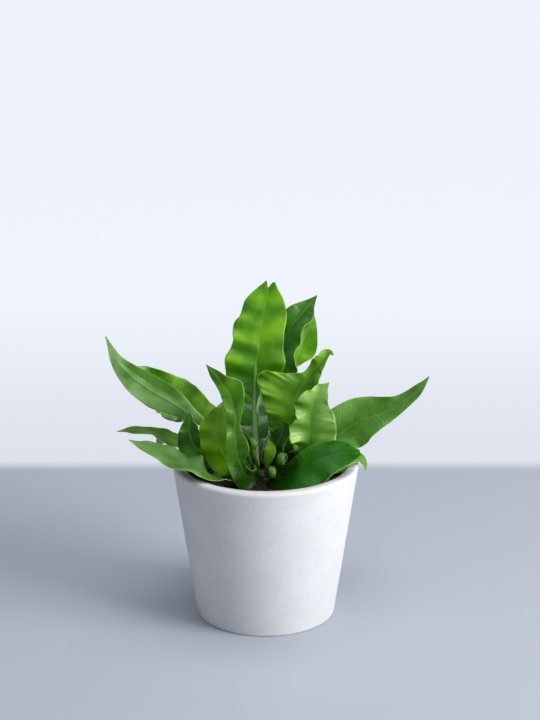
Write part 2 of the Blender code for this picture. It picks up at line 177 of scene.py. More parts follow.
# %% [markdown]
# ## The pot
# The real pot is cast from a pale mineral mix, then rubbed smooth. It is round, so a spun outline
# is the direct way: one profile, outside, over the rim, and down inside. Each corner is an arc,
# because a cast edge is never sharp, and the arc catches the light.


# %% Round the corners of an outline
def rounded(corner, before, after, radius, steps=8):
    """The arc that rounds a corner of a turned outline, between its two neighbours."""
    corner, before, after = np.array(corner), np.array(before), np.array(after)
    to_before = (before - corner) / np.linalg.norm(before - corner)
    to_after = (after - corner) / np.linalg.norm(after - corner)
    half_angle = 0.5 * np.arccos(np.dot(to_before, to_after))
    bisector = (to_before + to_after) / np.linalg.norm(to_before + to_after)
    centre = corner + bisector * radius / sin(half_angle)
    start = corner + to_before * radius / np.tan(half_angle) - centre
    end = corner + to_after * radius / np.tan(half_angle) - centre
    sweep = pi - 2 * half_angle
    points = []
    for step in range(steps + 1):
        share = step / steps
        arm = start * sin((1 - share) * sweep) / sin(sweep) + end * sin(share * sweep) / sin(sweep)
        points.append(tuple(centre + arm))
    return points


def turned(profile, sides):
    """Spin a closed outline, whose ends are on the axis, into one solid mesh."""
    mesh = bmesh.new()
    start = mesh.verts.new((profile[0][0], 0, profile[0][1]))
    edges = []
    for radius, height in profile[1:]:
        end = mesh.verts.new((radius, 0, height))
        edges.append(mesh.edges.new((start, end)))
        start = end
    bmesh.ops.spin(mesh, geom=mesh.verts[:] + edges, axis=(0, 0, 1), cent=(0, 0, 0),
                   angle=2 * pi, steps=sides, use_merge=True)
    bmesh.ops.remove_doubles(mesh, verts=mesh.verts, dist=1e-6)
    bmesh.ops.recalc_face_normals(mesh, faces=mesh.faces)
    return mesh


def wall_radius(height, inset=0.0):
    """The pot's tapered outer radius at a height, less an inset."""
    return POT_FOOT_RADIUS + (POT_TOP_RADIUS - POT_FOOT_RADIUS) * height / POT_HEIGHT - inset


# %% Spin the pot
RIM_ROUND = 0.0028
FOOT_ROUND = 0.0018
POT_SIDES = 160
foot, top = (POT_FOOT_RADIUS, 0), (POT_TOP_RADIUS, POT_HEIGHT)
inner_top = (POT_TOP_RADIUS - POT_WALL, POT_HEIGHT)
inner_floor = (wall_radius(POT_FLOOR, POT_WALL), POT_FLOOR)
profile = [(0, 0)]
profile += rounded(foot, (0, 0), top, FOOT_ROUND)
profile += rounded(top, foot, inner_top, RIM_ROUND)
profile += rounded(inner_top, top, inner_floor, RIM_ROUND)
profile += rounded(inner_floor, inner_top, (0, POT_FLOOR), 2 * FOOT_ROUND)
profile.append((0, POT_FLOOR))
mesh = turned(profile, POT_SIDES)
pot_data = bpy.data.meshes.new("pot_body")
mesh.to_mesh(pot_data)
mesh.free()
pot_data.shade_smooth()
pot_data.set_sharp_from_angle(angle=radians(35))
print("pot", len(pot_data.polygons), "faces")

# %% [markdown]
# ### The pot's finish
# The mineral mix is matte and a little uneven: wide clouds a shade darker, fine specks of grit, and
# a skin with the slightest grain. All of it is noise on the object's own coordinates, so it
# wraps round without a seam. Inside the rim the wall is painted darker and a touch warmer.

# %% Cast mineral
made, start = new_material("cast_mineral")
place = start.node("TexCoord", output=3)
height = place.node("SeparateXYZ", (), {0: place}, output=2)
cloud = place.noise(0.03, 3).band(0.35, 0.7)
pale = (cloud * 0.7).blend((0.72, 0.725, 0.735, 1.0), (0.67, 0.675, 0.685, 1.0))
mottle = place.noise(0.0035, 2).band(0.5, 0.72)
body = (mottle * 0.35).blend(pale, (0.61, 0.615, 0.63, 1.0))
speck = place.noise(0.0011, 1).band(0.70, 0.78)
gritty = (speck * 0.35).blend(body, (0.44, 0.45, 0.47, 1.0))
distance = place.node("VectorMath", {"operation": "LENGTH"}, {
    0: place.node("VectorMath", {"operation": "MULTIPLY"}, {0: place, 1: (1.0, 1.0, 0.0)})}, output=1)
taper = (POT_TOP_RADIUS - POT_FOOT_RADIUS) / POT_HEIGHT
inset = height * taper + POT_FOOT_RADIUS - distance
# the inner wall is painted darker and a touch warmer
inside = inset.band(0.004, 0.007)
darker_inside = (inside * 0.6).blend(gritty, (0.52, 0.505, 0.46, 1.0))
grain = place.noise(0.0008, 3) * 0.6 + place.noise(0.006, 2) * 0.4
finish_material(made, darker_inside, 0.68 + mottle * 0.12, grain, 0.00025, {"IOR": 1.45})
add_piece("pot_body", pot_data, made, "pot")
print("finish", made.name)

# %% [markdown]
# ## The soil
# Potting mix is crumbs of peat and bark. Its body is spun like the pot, and its top is pushed up
# and down by noise. A crumb is a small faceted ball, squashed and turned at random, and hundreds
# of them lie on top. They have few faces each, because only their outlines show.

# %% Spin the soil and roughen its top
GAP = 0.0003
POCKET_RADIUS = 0.013
POCKET_DEPTH = 0.012
clearance = POT_WALL + 1.5 * GAP
soil_bottom = POT_FLOOR + GAP
profile = [(0, soil_bottom), (wall_radius(soil_bottom, clearance) - 2 * FOOT_ROUND, soil_bottom),
           (wall_radius(soil_bottom + 2 * FOOT_ROUND, clearance), soil_bottom + 2 * FOOT_ROUND),
           (wall_radius(SOIL_TOP - 0.004, clearance), SOIL_TOP - 0.004)]
rings = 26
outer = wall_radius(SOIL_TOP, clearance)
for ring in range(rings):
    share = ring / (rings - 1)
    profile.append((outer + (POCKET_RADIUS - outer) * share, SOIL_TOP - 0.0015 * (1 - share)))
profile += [(POCKET_RADIUS, SOIL_TOP - POCKET_DEPTH), (0, SOIL_TOP - POCKET_DEPTH)]
soil_mesh = turned(profile, 128)
dice = np.random.default_rng(7)


def ripples(points, size, count=9):
    """Gentle random bumps over points, between about -1 and 1, from a few crossed waves."""
    total = np.zeros(len(points))
    for _ in range(count):
        direction = dice.normal(size=3)
        direction *= 2 * pi / (size * np.linalg.norm(direction) * dice.uniform(0.6, 1.6))
        total += np.sin(points @ direction + dice.uniform(0, 2 * pi))
    return total / sqrt(count)


surface = [v for v in soil_mesh.verts if v.co.z > SOIL_TOP - 0.002]
points = np.array([v.co for v in surface])
bumps = 0.0007 * ripples(points, 0.009) + 0.0004 * ripples(points, 0.003)
for vert, bump in zip(surface, bumps):
    vert.co.z += bump
print("soil top", len(surface), "points")

# %% Scatter the crumbs
CRUMBS = 900
CRUMB_SIZES = (0.0006, 0.0019)
CRUMB_STRETCH = (0.6, 1.35)    # along each of its axes
CRUMB_JITTER = 0.18           # how far its corners move, against its size
crumb_floor = SOIL_TOP - 0.0008
for _ in range(CRUMBS):
    size = dice.uniform(*CRUMB_SIZES)
    radius = sqrt(dice.uniform((CROWN_RADIUS + 0.002) ** 2, (outer - 0.0025) ** 2))
    bearing = dice.uniform(0, 2 * pi)
    crumb = bmesh.ops.create_icosphere(soil_mesh, subdivisions=1, radius=size)["verts"]
    stretch = dice.uniform(*CRUMB_STRETCH, 3)
    turn = dice.uniform(0, 2 * pi)
    spread = np.array([v.co for v in crumb]) * stretch
    spread += dice.uniform(-CRUMB_JITTER, CRUMB_JITTER, spread.shape) * size
    turned_x = spread[:, 0] * cos(turn) - spread[:, 1] * sin(turn) + radius * cos(bearing)
    turned_y = spread[:, 0] * sin(turn) + spread[:, 1] * cos(turn) + radius * sin(bearing)
    raised = spread[:, 2] * 0.8 + crumb_floor + 0.3 * size
    for vert, co in zip(crumb, zip(turned_x, turned_y, raised)):
        vert.co = co
soil_data = bpy.data.meshes.new("soil_mix")
soil_mesh.to_mesh(soil_data)
soil_mesh.free()
soil_data.shade_smooth()
soil_data.set_sharp_from_angle(angle=radians(50))
print("crumbs", CRUMBS, "soil", len(soil_data.polygons), "faces")

# %% Peat and bark
made, start = new_material("peat_and_bark")
place = start.node("TexCoord", output=3)
lumps = place.noise(0.0045, 3, 0.6)
dark = lumps.band(0.3, 0.75).blend((0.006, 0.004, 0.003, 1.0), (0.030, 0.019, 0.012, 1.0))
fibre = place.noise(0.0009, 2).band(0.6, 0.75)
mixed = (fibre * 0.5).blend(dark, (0.08, 0.055, 0.034, 1.0))
finish_material(made, mixed, 0.95 - lumps * 0.15, place.noise(0.0007, 3), 0.0006)
add_piece("soil_mix", soil_data, made, "potting_soil")
print("finish", made.name)

# %% [markdown]
# ## The rootstock
# Under the fronds sits a stubby crown wrapped in dark papery scales. A dome carries it, and each
# scale is one small stretched ball leaning outwards. Little of it shows between the stalks, so it
# stays simple.

# %% A dome with scales
waist = CROWN_RADIUS
crown_foot = SOIL_TOP - POCKET_DEPTH + GAP
profile = [(0, crown_foot), (waist, crown_foot), (waist, SOIL_TOP + GAP)]
for step in range(1, 9):
    turn = 0.5 * pi * step / 8
    rise = (CROWN_TOP - SOIL_TOP - GAP) * sin(turn)
    profile.append((waist * cos(turn), SOIL_TOP + GAP + rise))
profile[-1] = (0, CROWN_TOP)
crown_mesh = turned(profile, 48)
SCALES = 110
SCALE_LENGTHS = (2.2, 4.5)     # against a ball of 1 mm radius
GOLDEN_TURN = 0.618           # the share of a turn from one scale to the next
for index in range(SCALES):
    radius = waist * sqrt(dice.uniform(0.05, 1.25))
    bearing = 2 * pi * GOLDEN_TURN * index
    lean = radians(25 + 45 * radius / waist)
    scale = bmesh.ops.create_icosphere(crown_mesh, subdivisions=1, radius=MM)["verts"]
    length = dice.uniform(*SCALE_LENGTHS)
    for vert in scale:
        across, flat, tall = vert.co.x * 0.9, vert.co.y * 0.25, (vert.co.z + MM) * length * 0.5
        taper = 1 - 0.6 * tall / (length * MM)
        outward = radius + tall * sin(lean) + flat * cos(lean)
        rise = SOIL_TOP - 0.001 + 0.003 * (1 - (radius / waist) ** 2) + tall * cos(lean)
        vert.co = (outward * cos(bearing) - across * taper * sin(bearing),
                   outward * sin(bearing) + across * taper * cos(bearing), rise)
crown_data = bpy.data.meshes.new("rootstock")
crown_mesh.to_mesh(crown_data)
crown_mesh.free()
crown_data.shade_smooth()
made, start = new_material("papery_scales")
place = start.node("TexCoord", output=3)
husk = place.noise(0.003, 3).band(0.3, 0.7)
colour = husk.blend((0.02, 0.012, 0.007, 1.0), (0.10, 0.065, 0.03, 1.0))
finish_material(made, colour, 0.8, place.noise(0.0006, 2), 0.0003)
add_piece("rootstock", crown_data, made, "rhizome_crown")
print("scales", SCALES)

# %% [markdown]
# ## How a frond is shaped
# A frond is one undivided blade with a raised midrib, and its edges grow faster than its middle,
# so they buckle into ruffles. It could be sculpted, or draped by simulation, but a formula keeps
# every frond easy to change: a smooth midrib line, a width for each side, a fold, and waves whose
# height grows towards the edge.


# %% Smooth lines and smooth values
def smooth_route(points, count):
    """A centripetal Catmull-Rom curve through the points, as evenly spaced positions."""
    knots = np.array(points, float)
    knots = np.vstack([2 * knots[0] - knots[1], knots, 2 * knots[-1] - knots[-2]])
    pieces = []
    for i in range(1, len(knots) - 2):
        a, b, c, d = knots[i - 1:i + 3]
        t1 = sqrt(np.linalg.norm(b - a))
        t2 = t1 + sqrt(np.linalg.norm(c - b))
        t3 = t2 + sqrt(np.linalg.norm(d - c))
        t = np.linspace(t1, t2, 40, endpoint=False)[:, None]
        ab = a + (b - a) * t / t1
        bc = b + (c - b) * (t - t1) / (t2 - t1)
        cd = c + (d - c) * (t - t2) / (t3 - t2)
        abc = ab + (bc - ab) * t / t2
        bcd = bc + (cd - bc) * (t - t1) / (t3 - t1)
        pieces.append(abc + (bcd - abc) * (t - t1) / (t2 - t1))
    line = np.vstack(pieces + [knots[-2:-1]])
    walked = np.concatenate([[0], np.cumsum(np.linalg.norm(np.diff(line, axis=0), axis=1))])
    stations = np.linspace(0, walked[-1], count)
    line = np.stack([np.interp(stations, walked, line[:, axis]) for axis in range(3)], axis=1)
    return line, walked[-1]


def along(values, s):
    """A smooth value at each share s of the frond's length, through evenly spaced values."""
    knots = np.atleast_1d(np.array(values, float))
    if len(knots) == 1:
        return np.full_like(s, knots[0])
    knots = np.concatenate([knots[:1], knots, knots[-1:]])
    place = s * (len(knots) - 3)
    i = np.minimum(place.astype(int), len(knots) - 4)
    t = place - i
    a, b, c, d = knots[i], knots[i + 1], knots[i + 2], knots[i + 3]
    return b + 0.5 * t * (c - a + t * (2 * a - 5 * b + 4 * c - d + t * (3 * (b - c) + d - a)))


def ramp(low, high, value):
    t = np.clip((value - low) / (high - low), 0, 1)
    return t * t * (3 - 2 * t)


def per_half(value):
    """A frond's setting as one for the left half and one for the right half."""
    return value if isinstance(value, tuple) and len(value) == 2 else (value, value)


print("ramp", ramp(0, 1, np.array([0, 0.5, 1])))


# %% What all fronds have in common
STALK_HALF_WIDTH = 3          # millimetres: any narrower and a frond is stalk, with no fold or ruffles
BLADE_HALF_WIDTH = 9          # any wider and it is blade, with all of them
NARROWEST = 0.4               # the tip's half width
BUNCHING = 1.3                # above 1, the columns of faces crowd towards the midrib
PLEAT_SLANT = 0.12            # how much of a ruffle's length it leans back by the edge
PLEAT_UNEVEN = 0.02           # how unevenly the ruffles are spaced, as a share of the frond's length
PLEAT_SLIDE = 0.25            # how far the edge moves along as it moves up, against the ruffle's height
PLEAT_DRIFT = 0.5             # how far chance moves a ruffle along, in radians of its wave
HEIGHT_DRIFT = 0.25           # how much chance changes a ruffle's height
FRILL_PACE = 2.3              # frills to a ruffle
NOTCH_WIDTH = 0.4             # half the width of the split in a tip, against the half width there
print("blade from", BLADE_HALF_WIDTH, "mm of half width")


# %% The surface of one frond
def wander(s, pace, dice):
    """A slow random drift between about -1 and 1 along a frond."""
    total = sum(np.sin(2 * pi * (pace * k * s + dice.uniform())) / k for k in (1, 1.7, 2.9))
    return total / 1.9


def frond_sheet(frond, rows, columns, dice):
    """The middle surface, in millimetres, with the width to the edge and the height of the ruffle."""
    line, length = smooth_route(frond["route"], rows)
    s = np.linspace(0, 1, rows)
    ahead = np.gradient(line, axis=0)
    ahead /= np.linalg.norm(ahead, axis=1)[:, None]
    bearing, height = radians(frond.get("face", 0)), radians(frond.get("tilt", 40))
    looks_at = np.array([sin(bearing) * cos(height), -cos(bearing) * cos(height), sin(height)])
    upper = looks_at - (ahead @ looks_at)[:, None] * ahead
    upper /= np.linalg.norm(upper, axis=1)[:, None]
    aside = np.cross(ahead, upper)
    notch = frond.get("notch", 0) * ramp(0.8, 1.0, s)
    sheet = np.zeros((rows, columns, 3))
    widths = np.zeros((rows, columns))
    swells = np.zeros((rows, columns))
    spacing = np.linspace(-1, 1, columns)
    drift = [wander(s, 2, dice) for _ in range(2)]
    frill = [wander(s, 3, dice) for _ in range(2)]
    strength = [wander(s, 4, dice) for _ in range(2)]
    for column, across in enumerate(np.sign(spacing) * np.abs(spacing) ** BUNCHING):
        half = 0 if across < 0 else 1
        hand = -1 if across < 0 else 1
        reach = abs(across)
        width = np.maximum(along((frond["left"], frond["right"])[half], s), NARROWEST)
        is_blade = ramp(STALK_HALF_WIDTH, BLADE_HALF_WIDTH, width)
        start = frond.get("start", (0, 0.5))[half]
        fold = np.radians(along(per_half(frond.get("fold", 0))[half], s)) * is_blade
        bend = np.radians(frond.get("curl", 0)) * is_blade + 1e-6
        outward = width * (np.sin(fold + bend * reach) - np.sin(fold)) / bend
        lift = width * (np.cos(fold) - np.cos(fold + bend * reach)) / bend
        count = per_half(frond["waves"])[half]
        uneven = PLEAT_UNEVEN * np.sin(9 * s + 5 * start)
        phase = 2 * pi * (count * (s + uneven) - PLEAT_SLANT * reach + start)
        phase = phase + PLEAT_DRIFT * drift[half]
        puff = frond.get("puff", 0.35)
        pillow = 2 * np.sqrt(np.sin(0.5 * phase + 0.25 * pi) ** 2 + 0.02) - 1.1
        wave = (1 - puff) * np.sin(phase) + puff * pillow
        swell = along(per_half(frond["high"])[half], s) * is_blade * (1 + HEIGHT_DRIFT * strength[half])
        near = reach ** frond.get("root", 1.2)
        ruffle = swell * near * wave
        frilly = frond.get("frill", 0.2) * swell * reach ** 3
        ruffle += frilly * np.sin(FRILL_PACE * phase + 3 * frill[half])
        outward = outward - ruffle * np.sin(fold + bend * reach)
        lift = lift + ruffle * np.cos(fold + bend * reach)
        slide = (PLEAT_SLIDE * swell * near * np.cos(phase)
                 - notch * np.exp(-(across / NOTCH_WIDTH) ** 2))
        sheet[:, column] = (line + aside * (hand * outward)[:, None] + upper * lift[:, None]
                            + ahead * slide[:, None])
        widths[:, column] = width * across
        swells[:, column] = wave * near * is_blade
    return sheet, widths, swells, length


print("columns bunch towards the midrib")

# %% [markdown]
# ## From surface to leaf
# A grid of quads is moved onto the surface, and Solidify gives it its two sides. A vertex group
# makes the leaf thin at its edge and thick at the midrib, and nearly round in the stalk. The
# leaf remembers four things for its finish: where each point lies along and across the
# blade, how far the ruffle lifts it, and which side is the upper one.

# %% Give a leaf its thickness
EDGE = 0.42                   # millimetres
RIB = 0.9                     # what the midrib adds at the base of the blade
STALK = 2.3                   # what the stalk adds
THICKEST = EDGE + STALK


def thickness(widths, s):
    """The leaf's thickness in millimetres at every grid point."""
    to_edge = np.maximum(np.abs(widths[:, :1]), np.abs(widths[:, -1:]))
    is_blade = ramp(STALK_HALF_WIDTH, BLADE_HALF_WIDTH, to_edge)
    rib = RIB * (1 - 0.75 * s[:, None]) * np.exp(-(widths / (1.1 - 0.5 * s[:, None])) ** 2)
    inside = np.clip(1 - (widths / np.maximum(to_edge, 0.1)) ** 2, 0, 1)
    stalk = STALK * np.sqrt(inside)
    return EDGE + is_blade * rib + (1 - is_blade) * stalk * (1 - ramp(0.7, 0.95, s[:, None]))


def leaf_mesh(name, frond, dice, rows=150, columns=36):
    """One finished frond: a closed mesh with its finish coordinates."""
    sheet, widths, swells, length = frond_sheet(frond, rows + 1, columns + 1, dice)
    s = np.linspace(0, 1, rows + 1)
    mesh = bmesh.new()
    bmesh.ops.create_grid(mesh, x_segments=rows, y_segments=columns, size=1)
    grid = np.array([v.co for v in mesh.verts])
    row = np.rint((grid[:, 0] + 1) / 2 * rows).astype(int)
    column = np.rint((1 - grid[:, 1]) / 2 * columns).astype(int)
    for vert, place in zip(mesh.verts, sheet[row, column] * MM):
        vert.co = place
    flat = bpy.data.meshes.new(name)
    mesh.to_mesh(flat)
    mesh.free()
    corner = np.zeros(len(flat.loops), int)
    flat.loops.foreach_get("vertex_index", corner)
    lay = np.stack([s[row] * length * MM, widths[row, column] * MM], axis=1)
    half_width = np.where(widths < 0, -widths[:, :1], widths[:, -1:])
    share = np.stack([s[row], (widths / half_width)[row, column]], axis=1)
    for label, values in (("lay", lay), ("share", share)):
        layer = flat.uv_layers.new(name=label)
        layer.uv.foreach_set("vector", values[corner].astype(np.float32).ravel())
    flat.attributes.new("swell", "FLOAT", "POINT").data.foreach_set(
        "value", swells[row, column].astype(np.float32))
    rough = bpy.data.objects.new(name, flat)
    bpy.context.scene.collection.objects.link(rough)
    group = rough.vertex_groups.new(name="thick")
    for index, weight in enumerate(thickness(widths, s)[row, column] / THICKEST):
        group.add([index], float(weight), "REPLACE")
    shell = rough.modifiers.new("Solidify", "SOLIDIFY")
    shell.thickness = THICKEST * MM
    shell.offset = 0
    shell.vertex_group = group.name
    solid = applied(rough)
    bpy.data.objects.remove(rough, do_unlink=True)
    upper = np.zeros(len(solid.vertices), np.float32)
    upper[:len(row)] = 1
    solid.attributes.new("upper", "FLOAT", "POINT").data.foreach_set("value", upper)
    solid.shade_smooth()
    solid.name = name
    return solid


print("thickest", THICKEST, "mm")

# %% [markdown]
# ## The leaf's finish
# A living blade is three things at once. It is glossy, with a thin waxy skin. It is lined, with
# fine veins that leave the midrib and slant towards the tip, unevenly spaced and fading in places.
# And it is translucent: light that enters it comes out again yellower. Subsurface scattering does
# the last, with fixed values. The upper side is deeper, the underside paler and greyer, the midrib
# and the rim of the leaf pale. A frond may change any value of the plain look. `rolled` adds a deep
# strip along its right half, between two shares of its length.
# Some of the colour is painted light and shade: ruffle troughs, the lower blade and the base are
# painted darker, and the tallest frond's stalk is painted pale.


# %% A leaf material from its colours
def leaf_material(name, look):
    deep, fresh, under = (paint(*look[key]) for key in ("deep", "fresh", "under"))
    rib_colour = paint(*look["rib"])
    made, start = new_material(name)
    lay = start.node("UVMap", {"uv_map": "lay"})
    run = lay.node("SeparateXYZ", (), {0: lay})
    side = lay.node("SeparateXYZ", (), {0: lay}, output=1)
    share = start.node("UVMap", {"uv_map": "share"})
    s = share.node("SeparateXYZ", (), {0: share})
    edge = abs(share.node("SeparateXYZ", (), {0: share}, output=1))
    swell = start.node("Attribute", {"attribute_name": "swell"}, output=2)
    upper = start.node("Attribute", {"attribute_name": "upper"}, output=2)
    place = start.node("TexCoord", output=3)
    off = abs(side)
    cloud = place.noise(0.011, 2)
    slant = (run - off * 0.55 + cloud * 0.012) / look["vein"]
    line = (slant * (2 * pi)).math("SINE", slant * (2 * pi))
    veins = line.band(0.1, 0.95) * off.band(0.0008, 0.003) * edge.band(1.0, 0.9)
    veins = veins * place.noise(0.009, 2).band(0.4, 0.66)
    patch = place.noise(0.02, 2) * 1.4 - 0.7
    # painted shade: the ruffles' crests are painted lighter and their troughs darker
    tone = patch + swell * look["relief"] + edge * 0.15 + 0.42
    # painted shade: the blade is painted darker below the share low of its length
    tone = tone - s.band(look["low"] + 0.15, look["low"] - 0.1) * 0.45
    face = tone.band(0.0, 1.0).blend(deep, fresh)
    lines = veins * look["lined"]
    face = lines.blend(face, paint(*look["lines"]))
    beneath = lines.blend(under, paint(*look["lines"]))
    blade = upper.band(0.3, 0.7).blend(beneath, face)
    rim = edge.band(0.965, 0.998) * look["margin"]
    blade = rim.blend(blade, rib_colour)
    # the lower midrib painted paler: its own pale rib and a painted highlight
    stem = s.band(0.62, 0.42) * look["stem"]
    middle = off.band(0.0014, 0.0004) * (stem + look["midrib"])
    blade = middle.blend(blade, rib_colour)
    if "rolled" in look:
        first, last = look["rolled"]
        rolled = side.band(0.0, 0.001) * edge.band(0.3, 0.42) * s.band(first, first + 0.08)
        rolled = rolled * s.band(last, last - 0.08)
        blade = rolled.blend(blade, deep)
    # painted shade, with the stalk's own darker green: the colour turns to foot towards the crown
    base = s.band(look["shade_to"], 0.02)
    blade = (base * look["shade"]).blend(blade, paint(*look["foot"]))
    gloss = look["gloss"] + cloud * 0.12 + (1 - upper) * 0.08
    ridges = line * 0.22 + place.noise(0.0008, 2) * 0.2
    finish_material(made, blade, gloss, ridges * off.band(0.0006, 0.0025), 0.00018, {
        "Subsurface Weight": look["through"], "Subsurface Radius": (0.6, 1.0, 0.1),
        "Subsurface Scale": 0.0024, "Coat Weight": look["coat"], "Coat Roughness": 0.18,
        "Specular IOR Level": look["shine"], "IOR": 1.45})
    return made


PLAIN_LOOK = {
    "rib": (140, 182, 74),    # midrib and rim of the leaf
    "vein": 0.00115,          # from one vein to the next, in metres
    "relief": 0.2,            # painted shade: how much lighter a crest is painted than a trough
    "low": 0.3,               # painted shade: the share of the length below which the blade is painted darker
    "lined": 0.09,            # how strongly the veins show
    "lines": (150, 195, 60),  # the veins' colour
    "margin": 0.75,           # how strongly the pale rim shows
    "stem": 0,                # how much paler the lower midrib is painted: its own pale rib and a painted highlight
    "midrib": 0.22,           # how strongly the midrib shows
    "shade_to": 0.3,          # the share of the length that the painted base colour reaches
    "shade": 0.8,             # how strongly it shows
    "foot": (22, 54, 6),      # the base's colour: the stalk's own darker green and painted shade
    "gloss": 0.3,             # roughness
    "through": 0.4,           # how much light goes into the leaf
    "coat": 0.08,             # the waxy skin
    "shine": 0.28,            # the strength of the highlight
}
# Three copies of the leaf green: bright is painted light for fronds that face the window, dark is
# painted shade for fronds turned away and for fronds low in the nest.
GREENS = {
    "mid": {"deep": (42, 104, 0), "fresh": (112, 170, 18), "under": (112, 158, 66)},
    "bright": {"deep": (68, 132, 8), "fresh": (142, 194, 58), "under": (130, 176, 84)},
    "dark": {"deep": (12, 68, 0), "fresh": (56, 120, 6), "under": (84, 134, 54)},
}


def grow(fronds):
    """Make each frond of a group, with its own random drift and its own material."""
    faces = 0
    for name, frond in fronds.items():
        seed = sum(ord(letter) * (place + 1) for place, letter in enumerate(name))
        data = leaf_mesh("leaf_" + name, frond, np.random.default_rng(seed))
        look = {**PLAIN_LOOK, **GREENS[frond["green"]], **frond.get("look", {})}
        piece = add_piece("leaf_" + name, data, leaf_material("green_" + name, look),
                          "frond_" + name)
        faces += len(piece.data.polygons)
    print(len(fronds), "fronds", faces, "faces")


# %% [markdown]
# ## The fronds in the middle
# The tallest frond stands straight up and shows its upper side, with eight pillowed pleats down
# one half and six or seven down the other. Two more stand behind it. Lengths are in millimetres:
# `route` is the midrib from the crown to the tip, `left` and `right` are the widths, and `face`
# and `tilt` say where the upper side looks, in degrees. `fold` and `curl` bend each half. `waves`,
# `high` and `start` are the ruffles' number, height and phase, and a lower `root` begins them
# closer to the midrib. `puff` makes them pillowed instead of wavy, `frill` crimps the edge, and
# `notch` splits the tip.

# %% Middle fronds
grow({
    "tall_centre": {
        "route": ((-7, 9, 120.5), (-8, 10, 145), (-9, 13, 175), (-8, 18, 199), (-4, 26, 230),
                  (3, 37, 268)),
        "left": (1.9, 1.9, 1.8, 1.8, 1.8, 1.8, 1.8, 1.8, 1.9, 3, 11, 22, 24, 25, 25, 22, 20.5, 22, 22,
                 18.5, 17.5, 16.5, 13, 8, 3),
        "right": (1.9, 1.8, 1.8, 1.8, 1.9, 6, 20, 23, 20, 19, 19, 14, 5),
        "tilt": 12, "fold": 6, "curl": -10, "waves": (8, 6.5), "high": ((0, 0, 0, 0, 2, 3.6, 4, 3.8,
        3.2, 2.2, 1.2, 0.5, 0.2), (0, 0, 0, 0, 2, 3, 3, 2.4, 1.8, 1.4, 1, 0.5, 0.2)), "start": (0, 0.4),
        # painted light: the pale foot colour paints the shaded stalk as lit, and stem paints its glossy
        # highlight
        "notch": 5, "green": "mid", "puff": 0.7, "root": 0.65, "frill": 0.05, "look": {"foot": (214,
        236, 170), "shade_to": 0.5, "shade": 0.95, "lined": 0.06, "low": 0.5, "stem": 0.7, "deep": (46,
        108, 0), "fresh": (122, 178, 26)}},
    "back_right": {
        "route": ((-1, 13, 120.5), (5, 22, 140), (9, 31, 162), (10, 38, 185), (12, 44, 207),
                  (18, 49, 221), (29, 54, 235), (42, 60, 250)),
        "left": (1.5, 1.2, 1.2, 4, 14, 15, 14, 11, 0.5),
        "right": (1.5, 1.2, 1.2, 4, 17, 18, 14, 10, 0.5),
        "face": -25, "tilt": 15, "fold": 18, "waves": 6, "high": 3, "start": (0.2, 0.6),
        "green": "dark", "look": {"deep": (24, 78, 8), "fresh": (70, 130, 34), "gloss": 0.24}},
    "far_right": {
        "route": ((6, 12, 120), (11, 38, 150), (17, 56, 174), (25, 68, 192), (32, 76, 209),
                  (37, 80, 220), (40, 83, 230)),
        "left": (1.5, 1.2, 1.2, 1.2, 1.2, 3, 13, 9, 0.5),
        "right": (1.5, 1.2, 1.2, 1.2, 1.2, 1.2, 13, 9.5, 0.5),
        "face": 10, "tilt": 15, "fold": 10, "waves": 6, "high": 2.5, "start": (0.5, 0.1),
        "green": "mid", "look": {"deep": (50, 110, 0), "fresh": (112, 166, 14)}},
})
